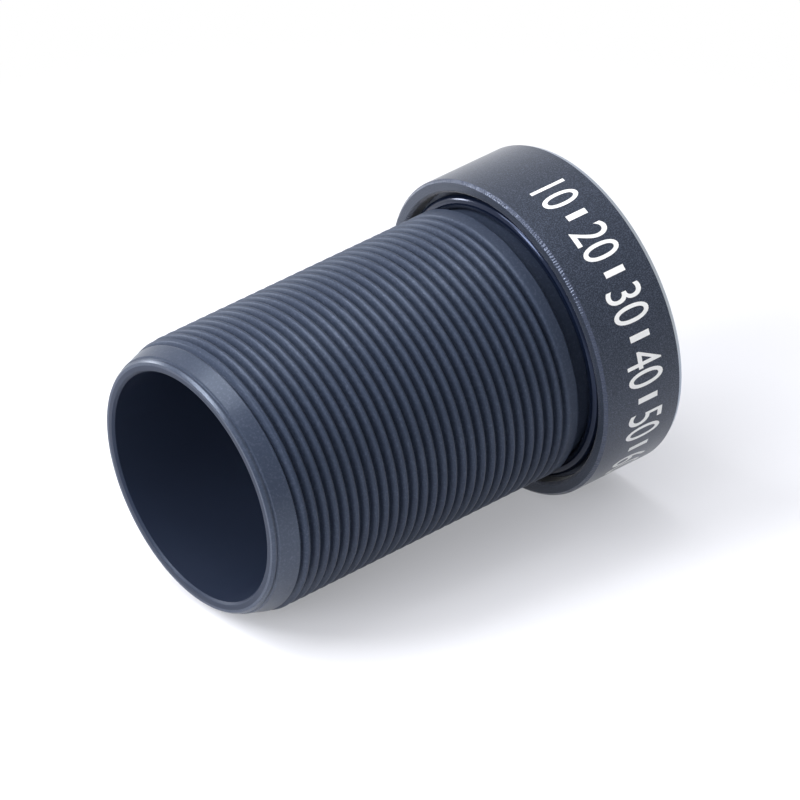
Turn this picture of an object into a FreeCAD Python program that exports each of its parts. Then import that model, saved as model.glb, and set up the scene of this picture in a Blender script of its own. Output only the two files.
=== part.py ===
import FreeCAD, Part
import os

import Sketcher

# A fixed-focus board camera lens with an M12 x 0.5 outside thread, in millimetres.
# It stands on its front end: the front face of the head lies in the plane Z = 0 and the optical axis
# is Z. The sensor end of the barrel, with its empty bore, points up.
# Every piece is turned or ground round, so most of them are a profile revolved about Z.

# Driving dimensions: alias, value, what it is.
SIZES = [
    ("overall_length", 20.0, "front face to sensor end"),
    ("head_dia", 14.0, "outside of the head"),
    ("head_length", 4.1, "front face to rear face of the head"),
    ("head_front_chamfer", 0.2, "outer front edge of the head"),
    ("head_rear_chamfer", 0.13, "outer rear edge of the head"),
    ("head_bore_dia", 12.0, "front bore of the head, holds the front lens and its ring"),
    ("head_seat_depth", 2.2, "front face to the seat of the front lens"),
    ("head_web_rear", 3.4, "front face to the floor of the gland"),
    ("gland_dia", 12.8, "outer wall of the gland in the rear face of the head"),
    ("edge_break", 0.08, "broken edge of the gland and of the front bore"),
    ("neck_dia", 11.2, "smooth neck of the barrel, which screws into the head"),
    ("thread_dia", 11.9, "crest diameter of the M12 x 0.5 thread"),
    ("thread_front", 5.55, "front face to the first full crest"),
    ("lead_in_length", 1.45, "conical lead-in at the sensor end"),
    ("lead_in_dia", 11.0, "small end of the lead-in"),
    ("rim_outer_chamfer", 0.12, "outer edge of the sensor end"),
    ("rim_inner_chamfer", 0.1, "inner edge of the sensor end"),
    ("bore_dia", 10.0, "open bore at the sensor end"),
    ("cell_end", 12.6, "front face to the step at the end of the lens cell"),
    ("cell_dia", 9.6, "bore that holds the rear elements"),
    ("lip_dia", 8.8, "lip at the front of the cell"),
    ("lip_rear", 2.9, "front face to the rear side of the lip"),
    ("cord_dia", 0.6, "rubber cord of the sealing ring"),
    ("front_recess", 0.5, "front face to the vertex of the front lens"),
    ("front_flat_dia", 10.6, "front lens: inner edge of its front flat"),
    ("front_rear_clear_dia", 10.0, "front lens: clear diameter of its rear side"),
    ("front_lens_front_curve", 18.0, "front lens: convex front radius"),
    ("front_lens_rear_curve", 60.0, "front lens: hollow rear radius"),
    ("front_ring_recess", 0.35, "front face to the front ring"),
    ("front_ring_mouth_dia", 11.3, "front ring: wide end of its cone"),
    ("clear_dia", 8.2, "clear diameter of the rear elements"),
    ("crown_front_curve", 13.0, "crown lens: convex front radius"),
    ("crown_thickness", 2.3, "crown lens: on the axis"),
    ("cement_curve", 16.7, "cemented surface, hollow to the front"),
    ("flint_thickness", 0.9, "flint lens: on the axis"),
    ("flint_rear_curve", 37.3, "flint lens: hollow rear radius"),
    ("stop_front", 7.0, "front face to the aperture stop"),
    ("stop_thickness", 0.12, "aperture stop"),
    ("stop_dia", 6.6, "opening of the aperture stop"),
    ("stop_bevel_dia", 6.84, "rear side of the opening"),
    ("concave_front", 7.9, "front face to the seat of the biconcave lens"),
    ("concave_thickness", 0.8, "biconcave lens: on the axis"),
    ("concave_front_curve", 7.2, "biconcave lens: front radius"),
    ("concave_rear_curve", 10.6, "biconcave lens: rear radius"),
    ("thin_spacer_length", 0.5, "spacer between the last two elements"),
    ("rear_lens_thickness", 1.8, "rear lens: on the axis"),
    ("rear_lens_front_curve", 7.5, "rear lens: convex front radius"),
    ("rear_lens_rear_curve", 32.1, "rear lens: convex rear radius"),
    ("rear_ring_hole_dia", 7.6, "rear ring: opening under the filter"),
    ("rear_ring_hole_length", 0.25, "rear ring: length of that opening"),
    ("filter_seat_dia", 8.6, "rear ring: counterbore for the filter"),
    ("filter_seat_depth", 0.35, "rear ring: depth of the counterbore"),
    ("filter_dia", 8.5, "infrared filter"),
    ("filter_thickness", 0.3, "infrared filter"),
    ("notch_width", 0.8, "spanner notches of both threaded rings"),
    ("front_notch_depth", 0.45, "notches of the front ring"),
    ("rear_notch_depth", 0.35, "notches of the rear ring"),
]

# How a sketch numbers its own axes and the two ends of a side.
HORIZONTAL_AXIS = -1
VERTICAL_AXIS = -2
START = 1
END = 2

# How a surface of a glass element is ground.
DOMED = "domed"
HOLLOW = "hollow"

FULL_TURN = 360
QUARTER_TURN = 90
NOTCHES = 2
CORD_SIDES = 12
MATCH = 1e-4

document = FreeCAD.newDocument("BoardLens")


def make_sheet():
    """Writes the driving dimensions into a spreadsheet, one alias each."""
    sheet = document.addObject("Spreadsheet::Sheet", "Sizes")
    for row, (alias, size, meaning) in enumerate(SIZES, start=1):
        sheet.set(f"A{row}", meaning)
        sheet.set(f"B{row}", str(size))
        sheet.setAlias(f"B{row}", alias)
    document.recompute()
    return sheet


def half(alias):
    """The expression for the radius of a diameter in the sheet."""
    return f"Sizes.{alias} / 2"


def sag(curve, radius):
    """The expression for how far a sphere of that radius of curvature falls away at a radius."""
    return f"({curve} - sqrt({curve} ^ 2 - ({radius}) ^ 2))"


# Heights along the axis that two pieces share, worked out from the sheet.
FRONT_FLAT = f"Sizes.front_recess + {sag('Sizes.front_lens_front_curve', half('front_flat_dia'))}"
CROWN_VERTEX = f"Sizes.lip_rear - {sag('Sizes.crown_front_curve', half('lip_dia'))}"
CEMENT_VERTEX = f"{CROWN_VERTEX} + Sizes.crown_thickness"
CEMENT_EDGE = f"{CEMENT_VERTEX} - {sag('Sizes.cement_curve', half('cell_dia'))}"
FLINT_VERTEX = f"{CEMENT_VERTEX} + Sizes.flint_thickness"
FLINT_EDGE = f"{FLINT_VERTEX} + {sag('Sizes.flint_rear_curve', half('clear_dia'))}"
STOP_REAR = "Sizes.stop_front + Sizes.stop_thickness"
CONCAVE_FRONT_VERTEX = (
    f"Sizes.concave_front + {sag('Sizes.concave_front_curve', half('clear_dia'))}"
)
CONCAVE_REAR_VERTEX = f"{CONCAVE_FRONT_VERTEX} + Sizes.concave_thickness"
CONCAVE_REAR_EDGE = (
    f"{CONCAVE_REAR_VERTEX} + {sag('Sizes.concave_rear_curve', half('clear_dia'))}"
)
REAR_FRONT_EDGE = f"{CONCAVE_REAR_EDGE} + Sizes.thin_spacer_length"
REAR_FRONT_VERTEX = (
    f"{REAR_FRONT_EDGE} - {sag('Sizes.rear_lens_front_curve', half('clear_dia'))}"
)
REAR_REAR_VERTEX = f"{REAR_FRONT_VERTEX} + Sizes.rear_lens_thickness"
REAR_REAR_EDGE = f"{REAR_REAR_VERTEX} - {sag('Sizes.rear_lens_rear_curve', half('clear_dia'))}"


def origin_feature(body, role):
    """The plane or axis of a body's own origin that has this role."""
    return next(feature for feature in body.Origin.OriginFeatures if feature.Role == role)


def bind(sketch, kind, geometry, end, size, name):
    """Adds a dimension to a sketch and ties it to an expression of the sheet."""
    value = sizes.evalExpression(size)
    where = (geometry,) if end is None else (geometry, end)
    index = sketch.addConstraint(Sketcher.Constraint(kind, *where, value))
    sketch.renameConstraint(index, name)
    sketch.setExpression(f"Constraints.{name}", size)


def outline(sketch, corners):
    """A closed straight-sided outline with every corner bound to the sheet.

    corners are pairs of expressions, radius and height, "0" where a corner lies on an axis.
    """
    points = []
    for radius, height in corners:
        across, along = sizes.evalExpression(radius), sizes.evalExpression(height)
        points.append(FreeCAD.Vector(across, along, 0))
    draw_loop(sketch, points)
    for side, (radius, height) in enumerate(corners):
        for kind, size, label, axis in (
            ("DistanceX", radius, "radius", VERTICAL_AXIS),
            ("DistanceY", height, "height", HORIZONTAL_AXIS),
        ):
            if size == "0":
                sketch.addConstraint(Sketcher.Constraint("PointOnObject", side, START, axis))
            else:
                bind(sketch, kind, side, START, size, f"corner_{side}_{label}")
    document.recompute()


def draw_loop(sketch, points):
    """Draws straight sides through the points, back to the first, and joins them end to end."""
    for number, start in enumerate(points):
        sketch.addGeometry(Part.LineSegment(start, points[(number + 1) % len(points)]), False)
    for number in range(len(points)):
        following = (number + 1) % len(points)
        sketch.addConstraint(Sketcher.Constraint("Coincident", number, END, following, START))


def turned(name, corners):
    """A body turned about the optical axis from one outline."""
    body = document.addObject("PartDesign::Body", name)
    body.Label = name
    sketch = body.newObject("Sketcher::SketchObject", f"{name}_outline")
    sketch.AttachmentSupport = (origin_feature(body, "XZ_Plane"), [""])
    sketch.MapMode = "FlatFace"
    outline(sketch, corners)
    revolution = body.newObject("PartDesign::Revolution", f"{name}_turned")
    revolution.Profile = sketch
    revolution.ReferenceAxis = (sketch, ["V_Axis"])
    revolution.Angle = FULL_TURN
    document.recompute()
    return body


def disc(name, radius, bottom, top):
    """A plain cylinder on the optical axis between two heights."""
    cylinder = document.addObject("Part::Cylinder", name)
    cylinder.setExpression("Radius", radius)
    cylinder.setExpression("Height", f"{top} - ({bottom})")
    cylinder.setExpression(".Placement.Base.z", bottom)
    return cylinder


def ground(name, edge, front, rear):
    """A glass element: a disc with a spherical surface ground onto or into each side.

    front and rear are each (kind, radius of curvature, clear radius, height of the flat beside it).
    A domed surface adds a cap on the flat, and a hollow one is cut into it.
    """
    piece = disc(f"{name}_disc", edge, front[3], rear[3])
    for label, surface, inwards in (("front", front, 1), ("rear", rear, -1)):
        kind, curve, clear, flat = surface
        sphere = document.addObject("Part::Sphere", f"{name}_{label}_sphere")
        # The sphere lies on its side, which keeps its poles away from the optical axis.
        sphere.Placement.Rotation = FreeCAD.Rotation(FreeCAD.Vector(1, 0, 0), QUARTER_TURN)
        sphere.setExpression("Radius", curve)
        centre_side = inwards if kind == DOMED else -inwards
        reach = f"sqrt({curve} ^ 2 - ({clear}) ^ 2)"
        sphere.setExpression(".Placement.Base.z", f"{flat} + {centre_side} * {reach}")
        if kind == HOLLOW:
            step = document.addObject("Part::Cut", f"{name}_{label}")
            step.Base, step.Tool = piece, sphere
        else:
            ends = sorted((flat, f"{flat} - {inwards} * {clear}"), key=sizes.evalExpression)
            cap = document.addObject("Part::Common", f"{name}_{label}_cap")
            cap.Base, cap.Tool = sphere, disc(f"{name}_{label}_clear", clear, *ends)
            step = document.addObject("Part::Fuse", f"{name}_{label}")
            step.Base, step.Tool = piece, cap
        piece = step
    piece.Label = name
    document.recompute()
    return piece


def ring_edges(body, radius, height):
    """The names of the circular edges of a body that have this radius and height."""
    radius, height = sizes.evalExpression(radius), sizes.evalExpression(height)
    names = []
    for number, edge in enumerate(body.Tip.Shape.Edges, start=1):
        if not isinstance(edge.Curve, Part.Circle):
            continue
        same_radius = abs(edge.Curve.Radius - radius) < MATCH
        if same_radius and abs(edge.Curve.Center.z - height) < MATCH:
            names.append(f"Edge{number}")
    return names


def bevel_edge(body, name, radius, height, size):
    """Chamfers one circular edge by a size of the sheet."""
    edges = ring_edges(body, radius, height)
    base = body.Tip
    chamfer = body.newObject("PartDesign::Chamfer", name)
    chamfer.Base = (base, edges)
    chamfer.setExpression("Size", size)
    document.recompute()


def cut_notches(body, face_height, depth, inner, outer, into_piece):
    """Cuts two opposite spanner notches into the end face of a threaded ring.

    into_piece is True where the notch runs towards larger heights.
    """
    before = body.Shape.Volume
    sketch = body.newObject("Sketcher::SketchObject", f"{body.Name}_notch_outline")
    sketch.AttachmentSupport = (origin_feature(body, "XY_Plane"), [""])
    sketch.MapMode = "FlatFace"
    sketch.setExpression(".AttachmentOffset.Base.z", face_height)
    near, far = sizes.evalExpression(inner), sizes.evalExpression(outer)
    side = sizes.evalExpression(half("notch_width"))
    corners = ((near, -side), (far, -side), (far, side), (near, side))
    draw_loop(sketch, [FreeCAD.Vector(across, along, 0) for across, along in corners])
    for number in (0, 2):
        sketch.addConstraint(Sketcher.Constraint("Horizontal", number))
    sketch.addConstraint(Sketcher.Constraint("Vertical", 1))
    sketch.addConstraint(Sketcher.Constraint("Symmetric", 3, START, 3, END, HORIZONTAL_AXIS))
    bind(sketch, "DistanceX", 0, START, inner, "near_end")
    bind(sketch, "DistanceX", 0, END, outer, "far_end")
    bind(sketch, "Distance", 3, None, "Sizes.notch_width", "width")
    pocket = body.newObject("PartDesign::Pocket", f"{body.Name}_notch")
    pocket.Profile = sketch
    pocket.Reversed = into_piece
    pocket.setExpression("Length", depth)
    document.recompute()
    pattern = body.newObject("PartDesign::PolarPattern", f"{body.Name}_notches")
    pattern.Originals = [pocket]
    pattern.Axis = (origin_feature(body, "Z_Axis"), [""])
    pattern.Angle = FULL_TURN
    pattern.Occurrences = NOTCHES
    body.Tip = pattern
    document.recompute()
    if body.Shape.Volume >= before:
        raise RuntimeError(f"the notches of {body.Label} cut nothing")


def make_barrel():
    """The barrel: neck, threaded stretch at its crest diameter, lead-in, open bore and lens cell."""
    neck, crest = half("neck_dia"), half("thread_dia")
    shoulder_front = f"Sizes.thread_front - ({crest} - {neck})"
    barrel = turned(
        "barrel",
        [
            (half("lip_dia"), "Sizes.head_seat_depth"),
            (neck, "Sizes.head_seat_depth"),
            (neck, shoulder_front),
            (crest, "Sizes.thread_front"),
            (crest, "Sizes.overall_length - Sizes.lead_in_length"),
            (half("lead_in_dia"), "Sizes.overall_length"),
            (half("bore_dia"), "Sizes.overall_length"),
            (half("bore_dia"), "Sizes.cell_end"),
            (half("cell_dia"), "Sizes.cell_end"),
            (half("cell_dia"), "Sizes.lip_rear"),
            (half("lip_dia"), "Sizes.lip_rear"),
        ],
    )
    end = "Sizes.overall_length"
    bevel_edge(barrel, "rim_outer_bevel", half("lead_in_dia"), end, "Sizes.rim_outer_chamfer")
    bevel_edge(barrel, "rim_inner_bevel", half("bore_dia"), end, "Sizes.rim_inner_chamfer")
    return barrel


def make_head():
    """The head: front bore, seat of the front lens, web on the neck and gland in the rear face."""
    head = turned(
        "head_ring",
        [
            (half("neck_dia"), "Sizes.head_seat_depth"),
            (half("head_bore_dia"), "Sizes.head_seat_depth"),
            (half("head_bore_dia"), "0"),
            (half("head_dia"), "0"),
            (half("head_dia"), "Sizes.head_length"),
            (half("gland_dia"), "Sizes.head_length"),
            (half("gland_dia"), "Sizes.head_web_rear"),
            (half("neck_dia"), "Sizes.head_web_rear"),
        ],
    )
    outside, rear = half("head_dia"), "Sizes.head_length"
    bevel_edge(head, "front_bevel", outside, "0", "Sizes.head_front_chamfer")
    bevel_edge(head, "rear_bevel", outside, rear, "Sizes.head_rear_chamfer")
    bevel_edge(head, "gland_bevel", half("gland_dia"), rear, "Sizes.edge_break")
    bevel_edge(head, "mouth_bevel", half("head_bore_dia"), "0", "Sizes.edge_break")
    return head


def make_sealing_ring():
    """The rubber ring in the gland, one flat of its many-sided cord on the neck and one on the floor."""
    cord = half("cord_dia")
    corner = f"{cord} / cos(180 / {CORD_SIDES})"
    corners = []
    for number in range(CORD_SIDES):
        angle = (number + 0.5) * FULL_TURN / CORD_SIDES
        across = f"{half('neck_dia')} + {cord} + {corner} * cos({angle})"
        along = f"Sizes.head_web_rear + {cord} + {corner} * sin({angle})"
        corners.append((across, along))
    return turned("o_ring", corners)


def make_front_lens():
    """The front element: domed towards the scene, with a ground flat for its ring."""
    return ground(
        "front_lens",
        half("head_bore_dia"),
        (DOMED, "Sizes.front_lens_front_curve", half("front_flat_dia"), FRONT_FLAT),
        (
            HOLLOW,
            "Sizes.front_lens_rear_curve",
            half("front_rear_clear_dia"),
            "Sizes.head_seat_depth",
        ),
    )


def make_front_ring():
    """The threaded ring that holds the front lens, with a conical mouth and two notches."""
    ring = turned(
        "front_retaining_ring",
        [
            (half("front_ring_mouth_dia"), "Sizes.front_ring_recess"),
            (half("head_bore_dia"), "Sizes.front_ring_recess"),
            (half("head_bore_dia"), FRONT_FLAT),
            (half("front_flat_dia"), FRONT_FLAT),
        ],
    )
    face, depth = "Sizes.front_ring_recess", "Sizes.front_notch_depth"
    cut_notches(ring, face, depth, half("front_flat_dia"), half("head_dia"), True)
    return ring


def make_doublet():
    """The cemented pair behind the lip: a crown element and a flint element on one surface."""
    cell = half("cell_dia")
    crown = ground(
        "crown_lens",
        cell,
        (DOMED, "Sizes.crown_front_curve", half("lip_dia"), "Sizes.lip_rear"),
        (DOMED, "Sizes.cement_curve", cell, CEMENT_EDGE),
    )
    flint = ground(
        "flint_lens",
        cell,
        (HOLLOW, "Sizes.cement_curve", cell, CEMENT_EDGE),
        (HOLLOW, "Sizes.flint_rear_curve", half("clear_dia"), FLINT_EDGE),
    )
    return crown, flint


def make_spacer(name, front, rear):
    """A plain ring between two elements of the cell."""
    cell, clear = half("cell_dia"), half("clear_dia")
    return turned(name, [(clear, front), (cell, front), (cell, rear), (clear, rear)])


def make_stop():
    """The thin aperture stop, with a bevelled opening."""
    return turned(
        "aperture_stop",
        [
            (half("stop_dia"), "Sizes.stop_front"),
            (half("cell_dia"), "Sizes.stop_front"),
            (half("cell_dia"), STOP_REAR),
            (half("stop_bevel_dia"), STOP_REAR),
        ],
    )


def make_biconcave_lens():
    """The negative element behind the stop, hollow on both sides."""
    clear = half("clear_dia")
    return ground(
        "biconcave_lens",
        half("cell_dia"),
        (HOLLOW, "Sizes.concave_front_curve", clear, "Sizes.concave_front"),
        (HOLLOW, "Sizes.concave_rear_curve", clear, CONCAVE_REAR_EDGE),
    )


def make_rear_lens():
    """The last element, domed on both sides, with a flat on each."""
    clear = half("clear_dia")
    return ground(
        "rear_lens",
        half("cell_dia"),
        (DOMED, "Sizes.rear_lens_front_curve", clear, REAR_FRONT_EDGE),
        (DOMED, "Sizes.rear_lens_rear_curve", clear, REAR_REAR_EDGE),
    )


def make_rear_ring():
    """The threaded ring that locks the stack, with a counterbore for the filter and two notches."""
    end, seat = "Sizes.cell_end", "Sizes.cell_end - Sizes.filter_seat_depth"
    hole, counterbore = half("rear_ring_hole_dia"), half("filter_seat_dia")
    ring = turned(
        "rear_retaining_ring",
        [
            (half("clear_dia"), REAR_REAR_EDGE),
            (half("cell_dia"), REAR_REAR_EDGE),
            (half("cell_dia"), end),
            (counterbore, end),
            (counterbore, seat),
            (hole, seat),
            (hole, f"{seat} - Sizes.rear_ring_hole_length"),
        ],
    )
    cut_notches(ring, end, "Sizes.rear_notch_depth", hole, half("bore_dia"), False)
    return ring


def make_filter():
    """The infrared filter, a plane plate on the ledge of the rear ring."""
    seat = "Sizes.cell_end - Sizes.filter_seat_depth"
    plate = disc("infrared_filter", half("filter_dia"), seat, f"{seat} + Sizes.filter_thickness")
    plate.Label = "infrared_filter"
    document.recompute()
    return plate


def check_and_write(pieces):
    """Stops at a failed object or a bad shape, then writes each piece as a STEP file."""
    document.recompute()
    for item in document.Objects:
        if "Invalid" in item.State or "Error" in item.State:
            raise RuntimeError(f"{item.Label} failed: {item.State}")
    for piece in pieces:
        shape = piece.Shape
        if shape.isNull() or not shape.isValid() or len(shape.Solids) != 1:
            raise RuntimeError(f"{piece.Label} isn't one valid solid")
    os.makedirs("parts", exist_ok=True)
    for piece in pieces:
        piece.Shape.exportStep(f"parts/{piece.Label}.step")
        print(f"{piece.Label}: {piece.Shape.Volume:.2f} mm3")


sizes = make_sheet()
pieces = [
    make_barrel(),
    make_head(),
    make_sealing_ring(),
    make_front_ring(),
    make_front_lens(),
    *make_doublet(),
    make_spacer("front_spacer", FLINT_EDGE, "Sizes.stop_front"),
    make_stop(),
    make_spacer("rear_spacer", STOP_REAR, "Sizes.concave_front"),
    make_biconcave_lens(),
    make_spacer("thin_spacer", CONCAVE_REAR_EDGE, REAR_FRONT_EDGE),
    make_rear_lens(),
    make_rear_ring(),
    make_filter(),
]
check_and_write(pieces)
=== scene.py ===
import logging
import math
from dataclasses import dataclass
from enum import Enum
from functools import partial

import bmesh
import bpy
from bmesh.types import BMesh
from bpy.types import Material, Mesh, Node, NodeSocket, NodeTree, Object
from mathutils import Matrix, Vector


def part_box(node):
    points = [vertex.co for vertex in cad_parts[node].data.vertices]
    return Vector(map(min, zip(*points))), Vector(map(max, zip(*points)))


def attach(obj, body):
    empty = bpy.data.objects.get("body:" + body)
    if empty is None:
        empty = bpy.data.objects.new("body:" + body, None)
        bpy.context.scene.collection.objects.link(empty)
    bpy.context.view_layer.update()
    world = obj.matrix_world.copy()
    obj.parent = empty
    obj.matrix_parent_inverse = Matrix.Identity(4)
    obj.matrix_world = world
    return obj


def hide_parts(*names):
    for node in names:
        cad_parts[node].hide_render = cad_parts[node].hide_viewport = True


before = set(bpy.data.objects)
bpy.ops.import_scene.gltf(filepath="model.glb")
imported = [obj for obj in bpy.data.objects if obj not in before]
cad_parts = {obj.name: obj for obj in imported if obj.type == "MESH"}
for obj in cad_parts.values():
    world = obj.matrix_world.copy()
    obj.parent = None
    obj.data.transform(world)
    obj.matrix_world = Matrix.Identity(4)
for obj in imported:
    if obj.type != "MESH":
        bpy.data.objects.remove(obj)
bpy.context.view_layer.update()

logging.basicConfig(level=logging.INFO, format="%(message)s")
log = logging.getLogger("lens")

MM = 0.001
BODY = "root"
FULL_TURN = 2 * math.pi
WELD = 0.0004 * MM
SHARP_EDGE = math.radians(32)
ARC_SIDES = 4
CUT_EDGE = "cut_edge"
BARE_EDGE = "bare_edge"
WHITE = "ffffff"
MATH = "ShaderNodeMath"
MAP_RANGE = "ShaderNodeMapRange"
NOISE = "ShaderNodeTexNoise"
INNER_NODES = ("front_spacer", "aperture_stop", "rear_spacer", "thin_spacer")


class Side(Enum):
    """The side of a glass element that a surface is on: its outward normal's direction along Z."""

    FRONT = -1
    REAR = 1


class Ground(Enum):
    """How a surface of a glass element is ground."""

    DOMED = 1
    PLANE = 0
    HOLLOW = -1


def linear(hex_colour: str) -> tuple[float, float, float, float]:
    """Turns an sRGB hex value into the linear colour that a shader takes.

    Args:
        hex_colour: six hexadecimal digits, without a hash.

    Returns:
        Linear red, green and blue, and a full alpha.
    """
    levels = [int(hex_colour[start : start + 2], 16) / 255 for start in (0, 2, 4)]
    toe, toe_slope, offset, gamma = 0.04045, 12.92, 0.055, 2.4
    red, green, blue = (
        level / toe_slope if level <= toe else ((level + offset) / (1 + offset)) ** gamma
        for level in levels
    )
    return red, green, blue, 1.0


def feed(node: Node, inputs: dict[int | str, object]) -> None:
    """Sets or links the inputs of a node.

    Args:
        node: the node.
        inputs: socket name or number to a value, to the output that feeds it, or to the node whose
            first output in use feeds it.
    """
    for key, value in inputs.items():
        if isinstance(value, Node):
            value = next(output for output in value.outputs if output.enabled)
        if isinstance(value, NodeSocket):
            node.id_data.links.new(value, node.inputs[key])
        else:
            node.inputs[key].default_value = value


def add_node(
    tree: NodeTree, kind: str, inputs: dict[int | str, object] | None = None, **settings: object
) -> Node:
    """Adds a node to a tree, with its settings and its inputs.

    Args:
        tree: the node tree.
        kind: the node's class name.
        inputs: its inputs, as feed takes them.
        **settings: attribute name to value.

    Returns:
        The new node.
    """
    node = tree.nodes.new(kind)
    for name, value in settings.items():
        setattr(node, name, value)
    feed(node, inputs or {})
    return node


@dataclass(frozen=True)
class Finish:
    """A surface finish: the base that every material of the lens is made from."""

    name: str
    colour: str
    roughness: float
    metallic: float = 0.0
    specular: float = 0.5
    gleam: str = WHITE

    def make(self) -> Material:
        """Makes the material: the plain values of the finish, then its surface detail.

        Returns:
            The material.
        """
        material = bpy.data.materials.new(self.name)
        material.use_nodes = True
        tree = material.node_tree
        shader = tree.nodes["Principled BSDF"]
        plain = {
            "Base Color": linear(self.colour),
            "Roughness": self.roughness,
            "Metallic": self.metallic,
            "Specular IOR Level": self.specular,
            "Specular Tint": linear(self.gleam),
        }
        feed(shader, plain)
        self.add_detail(shader, add_node(tree, "ShaderNodeTexCoord").outputs["Object"])
        return material

    def add_detail(self, shader: Node, place: NodeSocket) -> None:
        """Adds the pattern that tells this finish from a plain one.

        Args:
            shader: the material's Principled shader.
            place: the socket with the object coordinates.
        """
        raise NotImplementedError


@dataclass(frozen=True)
class TurnedAnodising(Finish):
    """Black anodised aluminium, turned on a lathe: satin, with fine lines round the axis.

    The dyed oxide is a clear skin over a grey ground, so it has a cool sheen. The tool marks are about
    0.03 mm apart, and are drawn at 0.06 mm so that they show. The lead-in cone was cut last with the
    worn corner of the tool, which tore and rubbed it, so it is glossier and has a grain of about
    0.1 mm. Handling has paled the outside in small spots. The bore is coloured darker than the
    outside: painted shade inside the bore.
    """

    bore_colour: str = "1f2636"
    line_spacing: float = 0.06 * MM
    line_depth: float = 0.001 * MM
    worn_colour: str = "7d8499"
    worn_grain: float = 0.1 * MM
    worn_from: float = 0.5
    worn_full: float = 0.85
    worn_share: float = 0.22
    torn_depth: float = 0.004 * MM
    inside_radius: float = 5.3 * MM
    cone_front: float = 18.9 * MM
    cone_roughness: float = 0.3
    cone_specular: float = 0.64

    def add_detail(self, shader: Node, place: NodeSocket) -> None:
        """Adds lathe lines, the torn cone, small rubbed spots outside and painted shade in the bore.

        Args:
            shader: the material's Principled shader.
            place: the socket with the object coordinates.
        """
        add = partial(add_node, shader.id_data)
        axes = add("ShaderNodeSeparateXYZ", {0: place}).outputs
        flat = add("ShaderNodeCombineXYZ", {0: axes[0], 1: axes[1]})
        radius = add("ShaderNodeVectorMath", {0: flat}, operation="LENGTH")
        along = add(MATH, {0: radius, 1: axes[2]}, operation="ADD")
        lines = add(
            NOISE, {"W": along, "Scale": 1 / self.line_spacing, "Detail": 2.0}, noise_dimensions="1D"
        )
        turned = add(
            "ShaderNodeBump", {"Height": lines, "Distance": self.line_depth, "Strength": 1.0}
        )
        outside, rear = (
            add(MATH, {0: measure, 1: limit}, operation="GREATER_THAN")
            for measure, limit in ((radius, self.inside_radius), (axes[2], self.cone_front))
        )
        on_cone = add(MATH, {0: outside, 1: rear}, operation="MULTIPLY")
        grain = add(
            NOISE, {"Vector": place, "Scale": 1 / self.worn_grain, "Detail": 4.0, "Roughness": 0.65}
        )
        torn = add(
            "ShaderNodeBump",
            {"Height": grain, "Distance": self.torn_depth, "Strength": on_cone, "Normal": turned},
        )
        gloss, gleam = (
            add(MAP_RANGE, {"Value": on_cone, "To Min": plain, "To Max": cone})
            for plain, cone in (
                (self.roughness, self.cone_roughness),
                (self.specular, self.cone_specular),
            )
        )
        spots = add(
            MAP_RANGE,
            {
                "Value": grain,
                "From Min": self.worn_from,
                "From Max": self.worn_full,
                "To Max": self.worn_share,
            },
        )
        rubbed = add(MATH, {0: spots, 1: outside}, operation="MULTIPLY")
        # Painted shade: the bore is coloured darker than the outside, and rubbed spots go on top.
        colour = linear(self.bore_colour)
        for share, over in ((outside, self.colour), (rubbed, self.worn_colour)):
            mixed = {"Factor": share, "A": colour, "B": linear(over)}
            colour = add("ShaderNodeMix", mixed, data_type="RGBA")
        detail = {
            "Base Color": colour,
            "Roughness": gloss,
            "Specular IOR Level": gleam,
            "Normal": torn,
        }
        feed(shader, detail)


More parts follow.
